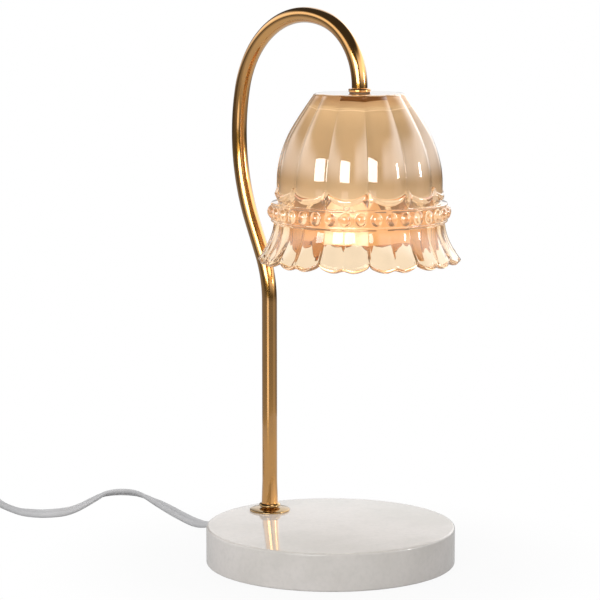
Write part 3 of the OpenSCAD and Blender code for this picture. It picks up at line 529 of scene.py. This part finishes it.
def rounded_copy(node, radius, segments=2, angle=40):
    """A merged copy of a solid with its sharp edges rounded."""
    bm = bmesh.new()
    bm.from_mesh(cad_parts[node].data)
    bmesh.ops.remove_doubles(bm, verts=bm.verts, dist=2e-6)
    bmesh.ops.dissolve_limit(bm, angle_limit=math.radians(1), verts=bm.verts, edges=bm.edges)
    sharp = [e for e in bm.edges if len(e.link_faces) == 2 and e.calc_face_angle() > math.radians(angle)]
    bmesh.ops.bevel(
        bm, geom=sharp, offset=radius, segments=segments, profile=0.5, affect="EDGES", material=-1,
        clamp_overlap=True)
    return bm


class LampOperator(bpy.types.Operator):
    """Shared base of the lamp's operators."""
    bl_options = {"REGISTER", "UNDO"}


class CameraOperator(LampOperator):
    """Place the camera where the photograph was taken from."""
    bl_idname = "lamp.camera"
    bl_label = "Camera"

    def execute(self, context):
        lens = bpy.data.cameras.new("camera")
        lens.sensor_width = 36
        lens.lens = SIGHT_LENS
        lens.clip_end = 50
        camera = bpy.data.objects.new("camera", lens)
        context.scene.collection.objects.link(camera)
        level = math.cos(SIGHT_TILT)
        look = Vector((-math.sin(SIGHT_TURN) * level, math.cos(SIGHT_TURN) * level, -math.sin(SIGHT_TILT)))
        camera.location = SIGHT_PLACE
        camera.rotation_euler = look.to_track_quat("-Z", "Y").to_euler()
        context.scene.camera = camera
        return {"FINISHED"}


class CordOperator(LampOperator):
    """Lay the flat cord from the base to the dimmer, and on through the coil to the plug."""
    bl_idname = "lamp.cord"
    bl_label = "Cord, dimmer and plug"

    def execute(self, context):
        sizes = context.scene.lamp.sizes
        colours = context.scene.lamp.colours
        white = plastic_finish("white_pvc", colours.cord, 0.45, 0.000003, 0.2)
        case = plastic_finish("case_plastic", colours.cord, 0.38, 0.00002)
        outline = cord_outline(sizes)

        run = smooth_route(placed(CORD_OUT, RUN_POINTS), ROUTE_STEPS)
        to_dimmer = settle(cord_sweep(run, outline), "cord_to_dimmer", [white], ["cord_run"])
        tail = smooth_route(placed(DIMMER_OUT, TAIL_POINTS), ROUTE_STEPS)
        coil = coil_points()
        lead = smooth_route([coil[-1], *LEAD_POINTS], ROUTE_STEPS)
        rest = tail + coil + lead[1:]
        to_plug = settle(
            cord_sweep(rest, outline), "cord_to_plug", [white], ["cord_tail", "cord_coil"])

        tie_bm = rounded_copy("coil_tie", 0.3 * MM)
        tie = settle(tie_bm, "coil_tie_strap", [white], ["coil_tie"])
        root = Vector((base_low.x, 0, relief_low.z + (relief_high.z - relief_low.z) / 2))
        ribbed = relief_outline(BOOT_ROOT * MM, BOOT_TIP * MM, BOOT_LENGTH * MM, BOOT_RIBS)
        boot_bm = spun(ribbed, root, 40, Vector((-1, 0, 0)))
        settle(boot_bm, "cord_boot", [white], ["strain_relief"])

        plug_bm = rounded_copy("plug_body", 1.2 * MM, 3, 15)
        plug = settle(plug_bm, "plug_shell", [white], ["plug_body"])
        lower_bm = rounded_copy("dimmer_lower", 0.5 * MM)
        lower = settle(lower_bm, "dimmer_tray", [case], ["dimmer_lower"])
        upper_bm = rounded_copy("dimmer_upper", 0.8 * MM, 3)
        upper = settle(upper_bm, "dimmer_cover", [case], ["dimmer_upper"])
        dress("plug_blades", metal_finish("plug_brass", (0.72, 0.55, 0.3), 0.22))
        dress("dimmer_wheel", plastic_finish("wheel_plastic", (0.34, 0.34, 0.35), 0.45))
        dress("dimmer_shaft", metal_finish("shaft_steel", (0.6, 0.6, 0.62)))
        dress("dimmer_pot", plastic_finish("pot_black", (0.03, 0.03, 0.032), 0.45))
        dress("dimmer_board", plastic_finish("board_green", (0.03, 0.13, 0.06), 0.35))
        dress("dimmer_screws", metal_finish("case_screw_steel", (0.58, 0.58, 0.6)))

        round(route_length(run), 3)
        [(p * MM).to_3d() for p in run]
        round(route_length(rest), 3)
        [(p * MM).to_3d() for p in rest]
        return {"FINISHED"}


class BaseOperator(LampOperator):
    """Turn the marble disc, with the recess of its pad."""
    bl_idname = "lamp.base"
    bl_label = "Marble base"

    def execute(self, context):
        sizes = context.scene.lamp.sizes
        colours = context.scene.lamp.colours
        radius = base_high.x
        bm = bmesh.new()
        middle = Matrix.Translation((0, 0, (base_low.z + base_high.z) / 2))
        bmesh.ops.create_cone(
            bm, cap_ends=True, segments=192, radius1=radius, radius2=radius, depth=base_high.z - base_low.z,
            matrix=middle)
        for z, edge in ((base_high.z, sizes.top_edge), (base_low.z, sizes.low_edge)):
            rim = [e for e in bm.edges if all(abs(v.co.z - z) < 1e-6 for v in e.verts)]
            bmesh.ops.bevel(
                bm, geom=rim, offset=edge, segments=6, profile=0.5, affect="EDGES", material=-1)
        below = min(bm.faces, key=lambda f: f.calc_center_median().z - f.calc_area())
        bmesh.ops.inset_region(bm, faces=[below], thickness=sizes.pad_inset - sizes.low_edge, depth=0)
        recess = bmesh.ops.extrude_discrete_faces(bm, faces=[below])["faces"]
        bmesh.ops.translate(bm, verts=recess[0].verts, vec=UP * (pad_high.z - base_low.z))
        settle(bm, "marble_disc", [marble_finish(colours)], ["marble_base"], crease=25)
        dress("base_pad", plastic_finish("pad_foam", (0.035, 0.033, 0.031), 0.75, 0.00008))
        return {"FINISHED"}


class NeckOperator(LampOperator):
    """Bend the brass tube, and turn the flange, collar and ring at its ends."""
    bl_idname = "lamp.neck"
    bl_label = "Brass neck"

    def execute(self, context):
        sizes = context.scene.lamp.sizes
        brass = brass_finish(context.scene.lamp.colours.brass)
        # Painted shade: the flange and collar get the darker foot colour, standing in for their shade
        shaded_foot_brass = brass_finish(context.scene.lamp.colours.foot, "shaded_foot_brass", 0.14, 0.3)
        self.tube(sizes, brass)
        foot = Vector((foot_x, 0, flange_low.z))
        rim = flange_high.x - foot_x
        bore = sizes.tube + 0.1 * MM
        flange = spun((
            (bore, 0), (rim - 0.2 * MM, 0), (rim, 0.2 * MM), (rim, 0.65 * MM), (rim - 0.12 * MM, 0.84 * MM),
            (rim - 0.4 * MM, 0.95 * MM), (rim * 0.72, 1.3 * MM), (rim * 0.56, 1.6 * MM), (bore, 1.6 * MM)),
            foot)
        settle(flange, "foot_plate", [shaded_foot_brass], ["foot_flange"], crease=30)
        wide = collar_high.x - foot_x
        tall = collar_high.z - collar_low.z
        collar = spun((
            (bore, 0), (wide - 1.3 * MM, 0), (wide - 1.1 * MM, 0.35 * MM), (wide - 0.35 * MM, 0.7 * MM),
            (wide, 1.15 * MM), (wide, 1.75 * MM), (wide - 0.3 * MM, 2.2 * MM), (wide - 0.9 * MM, tall),
            (bore, tall)),
            Vector((foot_x, 0, collar_low.z)))
        settle(collar, "foot_ring", [shaded_foot_brass], ["foot_collar"], crease=30)
        wide = ring_high.x - head_x
        tall = ring_high.z - ring_low.z
        ring = spun((
            (0.6 * sizes.tube, 0), (wide - 0.4 * MM, 0), (wide - 0.1 * MM, 0.15 * MM), (wide, 0.5 * MM),
            (wide, tall - 0.7 * MM), (wide - 0.25 * MM, tall - 0.3 * MM), (wide - 1.0 * MM, tall),
            (0.6 * sizes.tube, tall)),
            Vector((head_x, 0, ring_low.z)))
        settle(ring, "neck_cap", [brass], ["neck_ring"], crease=30)
        return {"FINISHED"}

    def tube(self, sizes, brass):
        """Draw the tube out ring by ring: up the stem, then round its four bends."""
        bm = bmesh.new()
        foot = Vector((foot_x, 0, collar_high.z))
        bmesh.ops.create_circle(
            bm, segments=48, radius=sizes.tube + sizes.flare, matrix=Matrix.Translation(foot))
        edges = bm.edges[:]

        def grow(step, wider=1.0, middle=None):
            nonlocal edges
            geom = bmesh.ops.extrude_edge_only(bm, edges=edges)["geom"]
            verts = [g for g in geom if isinstance(g, bmesh.types.BMVert)]
            edges = [g for g in geom if isinstance(g, bmesh.types.BMEdge)]
            bmesh.ops.translate(bm, verts=verts, vec=step)
            if middle is not None:
                bmesh.ops.scale(bm, verts=verts, vec=(wider, wider, 1), space=Matrix.Translation(-middle))

        def bend(x, z, degrees, steps, way):
            nonlocal edges
            verts = list({v for e in edges for v in e.verts})
            geom = bmesh.ops.spin(
                bm, geom=verts + edges, cent=(x * MM, 0, z * MM), axis=(0, way, 0), angle=math.radians(degrees),
                steps=steps, use_merge=False)["geom_last"]
            edges = [g for g in geom if isinstance(g, bmesh.types.BMEdge)]

        flare_top = foot + UP * sizes.flare_height
        grow(UP * sizes.flare_height, sizes.tube / (sizes.tube + sizes.flare), flare_top)
        grow(UP * (STEM_BEND[1] * MM - flare_top.z))
        bend(*STEM_BEND)
        lean = math.radians(STEM_BEND[2])
        grow(Vector((-math.sin(lean), 0, math.cos(lean))) * STRAIGHT * MM)
        for each in NECK_BENDS:
            bend(*each)
        grow(UP * (ring_high.z - NECK_BENDS[-1][1] * MM))
        bmesh.ops.holes_fill(bm, edges=[e for e in bm.edges if e.is_boundary], sides=0)
        settle(bm, "goose_neck", [brass], ["arm_tube"], crease=40)


class ShadeOperator(LampOperator):
    """Press the glass shade: a spun wall whose rows are pushed out into panels, beads and petals."""
    bl_idname = "lamp.shade"
    bl_label = "Glass shade"

    PANELS = 12
    BEADS = 36
    COLUMNS = 576
    # How far a stud reaches above, below and beside its point
    STUD_ABOVE = 4.6 * MM
    STUD_BELOW = 4.8 * MM
    STUD_ASIDE = 3.3 * MM
    # Places of the finishes that follow the amber glass
    LINED, BARE, PALE, PRESSED = 1, 2, 3, 4

    def column(self, s, angle):
        """The wall's outline at an angle from a panel's middle: radius and depth below the top, in metres.
        Also gives the row at which the inside starts, and the rows between which it is lined."""
        crest = abs(math.cos(self.PANELS / 2 * angle))
        dip = crest ** 12
        share = angle / (2 * math.pi / self.PANELS)
        off = 2 * abs(share - round(share))
        bulge = 1 - off ** 2
        edge = 1.2 * MM
        lip = 1.7 * MM
        hole = 4.2 * MM
        scallop = s.cusp + (s.scallop - s.cusp) * crest ** 0.7

        def clip(x):
            return min(max(x, 0), 1)

        def dome(d):
            return s.top + (s.dome - s.top) * math.sin(math.pi / 2 * clip(d / s.dome_height))

        def lobe(d):
            return s.lobe * (0.35 + 0.65 * clip(d / (20 * MM))) * bulge

        def within(d):
            flat = 1 - 0.7 * clip((d - 40 * MM) / (10 * MM))
            facet = math.cos(math.pi / self.PANELS) / math.cos(off * math.pi / self.PANELS)
            return (dome(d) - s.wall) * (1 - flat * (1 - facet))

        def stud(d):
            panel = 360 / self.PANELS
            aside = math.radians(abs((math.degrees(angle) % panel) - panel / 2)) * s.neck
            away = (s.stud_at - d) / self.STUD_ABOVE if d < s.stud_at else (d - s.stud_at) / self.STUD_BELOW
            return s.neck + s.stud * (1 - aside / self.STUD_ASIDE - away)

        rows = [(hole, 0.5 * MM), (hole + 0.5 * MM, 0), (hole + 0.8 * MM, 0), (0.5 * s.top, 0)]
        rows += [(s.top - edge - 0.5 * MM, 0), (s.top - edge, 0)]
        shoulder = dome(edge) + lobe(edge)
        for k in range(1, 5):
            turn = math.pi / 2 * k / 5
            rows.append((s.top - edge + (shoulder - s.top + edge) * math.sin(turn), edge * (1 - math.cos(turn))))
        roll = s.roll * (0.45 + 0.55 * crest)
        tan_end = scallop - roll
        for k in range(29):
            d = edge + (tan_end - edge) * k / 28
            rows.append((dome(d) + lobe(d), d))
        for k in range(1, 8):
            turn = math.pi * k / 8
            d = tan_end + roll * (1 - math.cos(turn)) / 2
            rows.append((max(dome(d) + lobe(d) + 0.8 * MM * math.sin(turn), stud(d)), d))
        neck_top = scallop + 0.3 * MM
        for k in range(14):
            d = neck_top + (s.band_top - neck_top) * k / 13
            rows.append((max(s.neck, stud(d)), d))
        rim = 0.25 * MM
        low = s.band_top + s.band_height
        rows += [(s.band + 0.3 * rim, s.band_top + 0.1 * MM), (s.band + rim, s.band_top + 0.4 * MM)]
        rows += [(s.band + rim, s.band_top + 0.8 * MM), (s.band, s.band_top + 1.1 * MM)]
        pitch = 360 / self.BEADS
        bead_off = (math.degrees(angle) + pitch / 2) % pitch - pitch / 2
        for k in range(15):
            d = s.band_top + 1.3 * MM + (s.band_height - 2.6 * MM) * k / 14
            aside = math.radians(bead_off) * s.band / s.bead
            far = aside ** 2 + ((d - s.band_top - s.band_height / 2) / s.bead_tall) ** 2
            rows.append((s.band + s.bead_rise * math.sqrt(max(0, 1 - far)), d))
        rows += [(s.band, low - 1.1 * MM), (s.band + rim, low - 0.8 * MM)]
        rows += [(s.band + rim, low - 0.4 * MM), (s.band + 0.3 * rim, low - 0.1 * MM)]
        skirt_top = low + 0.8 * MM
        hem = s.tip - s.gap * (1 - crest ** 0.5) - 1.5 * MM * dip

        def flare(t):
            return s.waist + s.skirt_flare * t ** 1.9

        def petal(t):
            half = 1 - (2 * off - 1) ** 2
            return s.petal * (0.4 + 0.6 * t) * (0.5 * bulge + 0.5 * half)

        for k in range(31):
            t = k / 30
            rows.append((flare(t) + petal(t), skirt_top + t * (hem - lip - skirt_top)))
        outer = flare(1) + petal(1)
        inner = flare(1) - s.wall
        for k in range(1, 10):
            turn = math.pi * k / 10
            rows.append((
                (outer + inner) / 2 + (outer - inner) / 2 * math.cos(turn), hem - lip + lip * math.sin(turn)))
        inside = len(rows) - 1
        for k in range(10):
            t = 1 - k / 9
            rows.append((flare(t) - s.wall, skirt_top + t * (hem - lip - skirt_top)))
        rows.append((s.waist - s.wall, s.band_top))
        border = len(rows)
        rows.append((within(scallop), scallop))
        lined = len(rows)
        fillet = 1.6 * MM
        crown = s.roof + fillet
        for k in range(19):
            d = tan_end + (crown - tan_end) * k / 18
            rows.append((within(d), d))
        wall = rows[-1][0]
        crease = len(rows) - 1
        for k in range(1, 6):
            turn = math.pi / 2 * k / 5
            rows.append((wall - fillet * (1 - math.cos(turn)), crown - fillet * math.sin(turn)))
        pressed = len(rows)
        rows += [(gasket_high.x - head_x, s.roof), (hole + 0.7 * MM, s.roof), (hole + 0.4 * MM, s.roof)]
        rows.append((hole, s.roof - 0.4 * MM))
        return rows, (inside, border, lined, crease, pressed)

    def execute(self, context):
        s = context.scene.lamp.shade
        colours = context.scene.lamp.colours
        step = 2 * math.pi / self.COLUMNS
        columns = [self.column(s, j * step) for j in range(self.COLUMNS)]
        count = len(columns[0][0])
        inside, border, lined, crease, pressed = columns[0][1]
        bm = bmesh.new()
        line = [bm.verts.new((0.03, 0, i * MM)) for i in range(count)]
        edges = [bm.edges.new(pair) for pair in zip(line, line[1:] + line[:1])]
        bmesh.ops.spin(
            bm, geom=line + edges, cent=(0, 0, 0), axis=UP, angle=2 * math.pi, steps=self.COLUMNS, use_merge=True)
        row = bm.verts.layers.int.new("row")
        for vert in bm.verts:
            vert[row] = round(vert.co.z / MM)
            turn = math.atan2(vert.co.y, vert.co.x)
            radius, depth = columns[round(turn / step) % self.COLUMNS][0][vert[row]]
            turn = round(turn / step) * step + s.turn
            vert.co = (head_x + radius * math.cos(turn), radius * math.sin(turn), glass_high.z - depth)
        for face in bm.faces:
            ends = [v[row] for v in face.verts]
            if min(ends) == crease or border <= min(ends) < lined:
                face.material_index = self.PALE
            elif min(ends) >= pressed or max(ends) == count - 1:
                face.material_index = self.PRESSED
            elif lined <= min(ends):
                face.material_index = self.LINED
            elif min(ends) >= inside:
                face.material_index = self.BARE
        bm.verts.layers.int.remove(row)
        settle(
            bm, "pressed_shade",
            [amber_finish(colours), lining_finish(colours, "tan_lustre", colours.lining),
             amber_finish(colours, "bare_glass", False), lining_finish(colours, "pale_lustre", colours.border),
             plastic_finish("pressed_gasket", (0.27, 0.15, 0.05), 0.6)],
            ["glass_shade"], crease=60)
        return {"FINISHED"}


class BulbOperator(LampOperator):
    """Finish the lit bulb, its lampholder and what clamps the glass."""
    bl_idname = "lamp.bulb"
    bl_label = "Bulb and lampholder"

    def execute(self, context):
        glow = context.scene.lamp.colours.glow
        ember = context.scene.lamp.colours.ember
        gasket = plastic_finish("gasket_rubber", (0.2, 0.13, 0.075), 0.6)
        steel = metal_finish("plated_steel", (0.62, 0.61, 0.6))
        brass = metal_finish("bare_brass", (0.7, 0.5, 0.22), 0.3)
        ceramic = plastic_finish("glazed_ceramic", (0.8, 0.78, 0.73), 0.25)
        for node in ("neck_gasket", "shade_gasket"):
            dress(node, gasket)
        for node in (
                "shade_washer", "clamp_nut", "strap_nut", "holder_strap", "holder_screws", "lock_washer",
                "lock_nut"):
            dress(node, steel)
        for node in ("shade_nipple", "holder_contacts", "bulb_pins"):
            dress(node, brass)
        dress("lampholder", ceramic)
        dress("bulb_base", plastic_finish("bulb_ceramic", (0.75, 0.73, 0.68), 0.35))
        dress("lead_wires", plastic_finish("wire_sleeve", (0.78, 0.77, 0.74), 0.4))
        dress("bulb_reflector", glow_finish("reflector_glass", (0.5, 0.4, 0.28), glow, ember, 1.32, 0.6))
        dress("bulb_capsule", glow_finish("lit_capsule", (0.9, 0.85, 0.75), glow, glow, 6))
        dress("bulb_lens", glow_finish("lit_lens", (0.9, 0.85, 0.75), glow, glow, 3))
        return {"FINISHED"}


class StageOperator(LampOperator):
    """Set a white floor, a pale room and soft studio lamps."""
    bl_idname = "lamp.stage"
    bl_label = "Stage"

    def execute(self, context):
        self.floor(context)
        self.room(context)
        self.softbox(context, "key_light", azimuth=-24, elevation=16, distance=1.2, size=(0.78, 0.5), power=7.8)
        self.softbox(context, "fill_light", azimuth=76, elevation=12, distance=1.4, size=(0.2, 0.3), power=2.4)
        top = self.softbox(
            context, "top_light", azimuth=170, elevation=72, distance=1.3, size=(1.3, 1.3), power=11)
        top.visible_glossy = False
        context.scene.view_settings.view_transform = "Standard"
        return {"FINISHED"}

    def floor(self, context):
        """A white disc that keeps the lamp's shadow, a little darker in gloss."""
        bm = bmesh.new()
        bmesh.ops.create_circle(bm, cap_ends=True, segments=96, radius=0.42)
        mesh = bpy.data.meshes.new("floor")
        bm.to_mesh(mesh)
        bm.free()
        f = Finish("white_floor")
        pale = f.principled({"Base Color": (0.55, 0.55, 0.55), "Roughness": 0.7})
        gloss = f.ray("Glossy") * (1 - f.ray("Transmission"))
        white = f.node("ShaderNodeEmission", {}, {"Color": WHITE, "Strength": 1 - gloss * 0.4})
        away = f.node("ShaderNodeVectorMath", {"operation": "LENGTH"}, {0: f.place()}, "Value")
        share = self.seen(f) * (0.93 + f.ramp(away, 0.07, 0.17) * 0.07)
        mesh.materials.append(f.surface(f.node("ShaderNodeMixShader", {}, {0: share, 1: pale, 2: white})))
        floor = bpy.data.objects.new("floor", mesh)
        context.scene.collection.objects.link(floor)

    def room(self, context):
        """A white surround to the eye and through the glass, a studio with pale sides in gloss, and a soft even
        light."""
        world = bpy.data.worlds.new("studio")
        context.scene.world = world
        f = Finish("studio", world)
        way = f.node("ShaderNodeTexCoord", {}, {}, "Generated")
        ahead = f.along(way, (-math.sin(SIGHT_TURN), math.cos(SIGHT_TURN), 0))
        right = f.along(way, (math.cos(SIGHT_TURN), math.sin(SIGHT_TURN), 0))
        up = f.along(way, UP)
        sides = f.ramp(right, 0.05, 0.45) * 1.5 + f.ramp(right, 0.7, 0.95) * 0.5
        left = f.ramp(right, -0.45, -0.8) * f.ramp(up, 0.6, 0.35) * 1.4
        sides = sides * f.ramp(up, 0.75, 0.45) + left
        flag = f.ramp(up, 0.06, 0.14) * f.ramp(right, -0.08, -0.2)
        far = f.ramp(ahead, 0.6, 0.85) * f.ramp(up, -0.05, 0.08) * (1 - flag)
        near_strip = f.ramp(f.along(way, (0.384, -0.914, -0.134)), 0.965, 0.985)
        far_strip = f.ramp(f.along(way, (0.85, 0.507, -0.139)), 0.93, 0.98)
        strips = near_strip * f.ramp(abs(up + 0.155), 0.08, 0.045) * 1.2 + far_strip * 0.15
        below = f.ramp(up, -0.05, -0.15) * 0.24 + f.ramp(up, -0.2, -0.45) * 0.3
        gloss = 0.05 + below + sides * f.ramp(up, -0.06, 0.3) + far + strips
        through = 1 - f.ramp(up, 0.1, 0.4) * (0.9 - f.ramp(right, 0.0, 0.35) - f.ramp(right, -0.3, -0.55))
        camera = f.ray("Camera")
        passed = f.ray("Transmission")
        strength = camera + passed * through + (1 - camera - passed) * gloss
        white = f.node("ShaderNodeBackground", {}, {"Color": WHITE, "Strength": strength})
        soft = f.node("ShaderNodeBackground", {}, {"Color": WHITE, "Strength": 0.32})
        both = f.node("ShaderNodeMixShader", {}, {0: self.seen(f), 1: soft, 2: white})
        f.node("ShaderNodeOutputWorld", {}, {"Surface": both})

    def seen(self, f):
        """1 for rays from the camera, from gloss and through glass."""
        rays = [f.ray(kind) for kind in ("Camera", "Glossy", "Transmission")]
        return f.node("ShaderNodeMath", {"operation": "MAXIMUM"}, {
            0: rays[0], 1: f.node("ShaderNodeMath", {"operation": "MAXIMUM"}, {0: rays[1], 1: rays[2]})})

    def softbox(self, context, name, azimuth, elevation, distance, size, power):
        """A softbox that faces the shade, with its azimuth measured from the camera's."""
        light = bpy.data.lights.new(name, "AREA")
        light.shape = "RECTANGLE"
        light.size, light.size_y = size
        light.energy = power
        turn = SIGHT_TURN + math.radians(azimuth)
        rise = math.radians(elevation)
        way = Vector((math.sin(turn) * math.cos(rise), -math.cos(turn) * math.cos(rise), math.sin(rise)))
        lamp = bpy.data.objects.new(name, light)
        lamp.location = Vector((0, 0, 0.17)) + way * distance
        lamp.rotation_euler = (-way).to_track_quat("-Z", "Y").to_euler()
        context.scene.collection.objects.link(lamp)
        return lamp


OPERATORS = (
    CameraOperator, CordOperator, BaseOperator, NeckOperator, ShadeOperator, BulbOperator, StageOperator)


class LampPanel(bpy.types.Panel):
    """The lamp's steps and sizes in the sidebar."""
    bl_idname = "VIEW3D_PT_lamp"
    bl_label = "Goose-neck lamp"
    bl_space_type = "VIEW_3D"
    bl_region_type = "UI"
    bl_category = "Lamp"

    def draw(self, context):
        for step in OPERATORS:
            self.layout.operator(step.bl_idname)
        for group in (context.scene.lamp.sizes, context.scene.lamp.shade, context.scene.lamp.colours):
            column = self.layout.column(align=True)
            for key in group.bl_rna.properties.keys():
                if key not in ("rna_type", "name"):
                    column.prop(group, key)


CLASSES = (LampSizes, ShadeSizes, LampColours, LampSettings, *OPERATORS, LampPanel)


def register():
    for cls in CLASSES:
        bpy.utils.register_class(cls)
    bpy.types.Scene.lamp = PointerProperty(type=LampSettings)


def unregister():
    del bpy.types.Scene.lamp
    for cls in reversed(CLASSES):
        bpy.utils.unregister_class(cls)


def main():
    register()
    bpy.ops.lamp.camera()
    bpy.ops.lamp.cord()
    bpy.ops.lamp.base()
    bpy.ops.lamp.neck()
    bpy.ops.lamp.shade()
    bpy.ops.lamp.bulb()
    bpy.ops.lamp.stage()


if __name__ == "__main__":
    main()
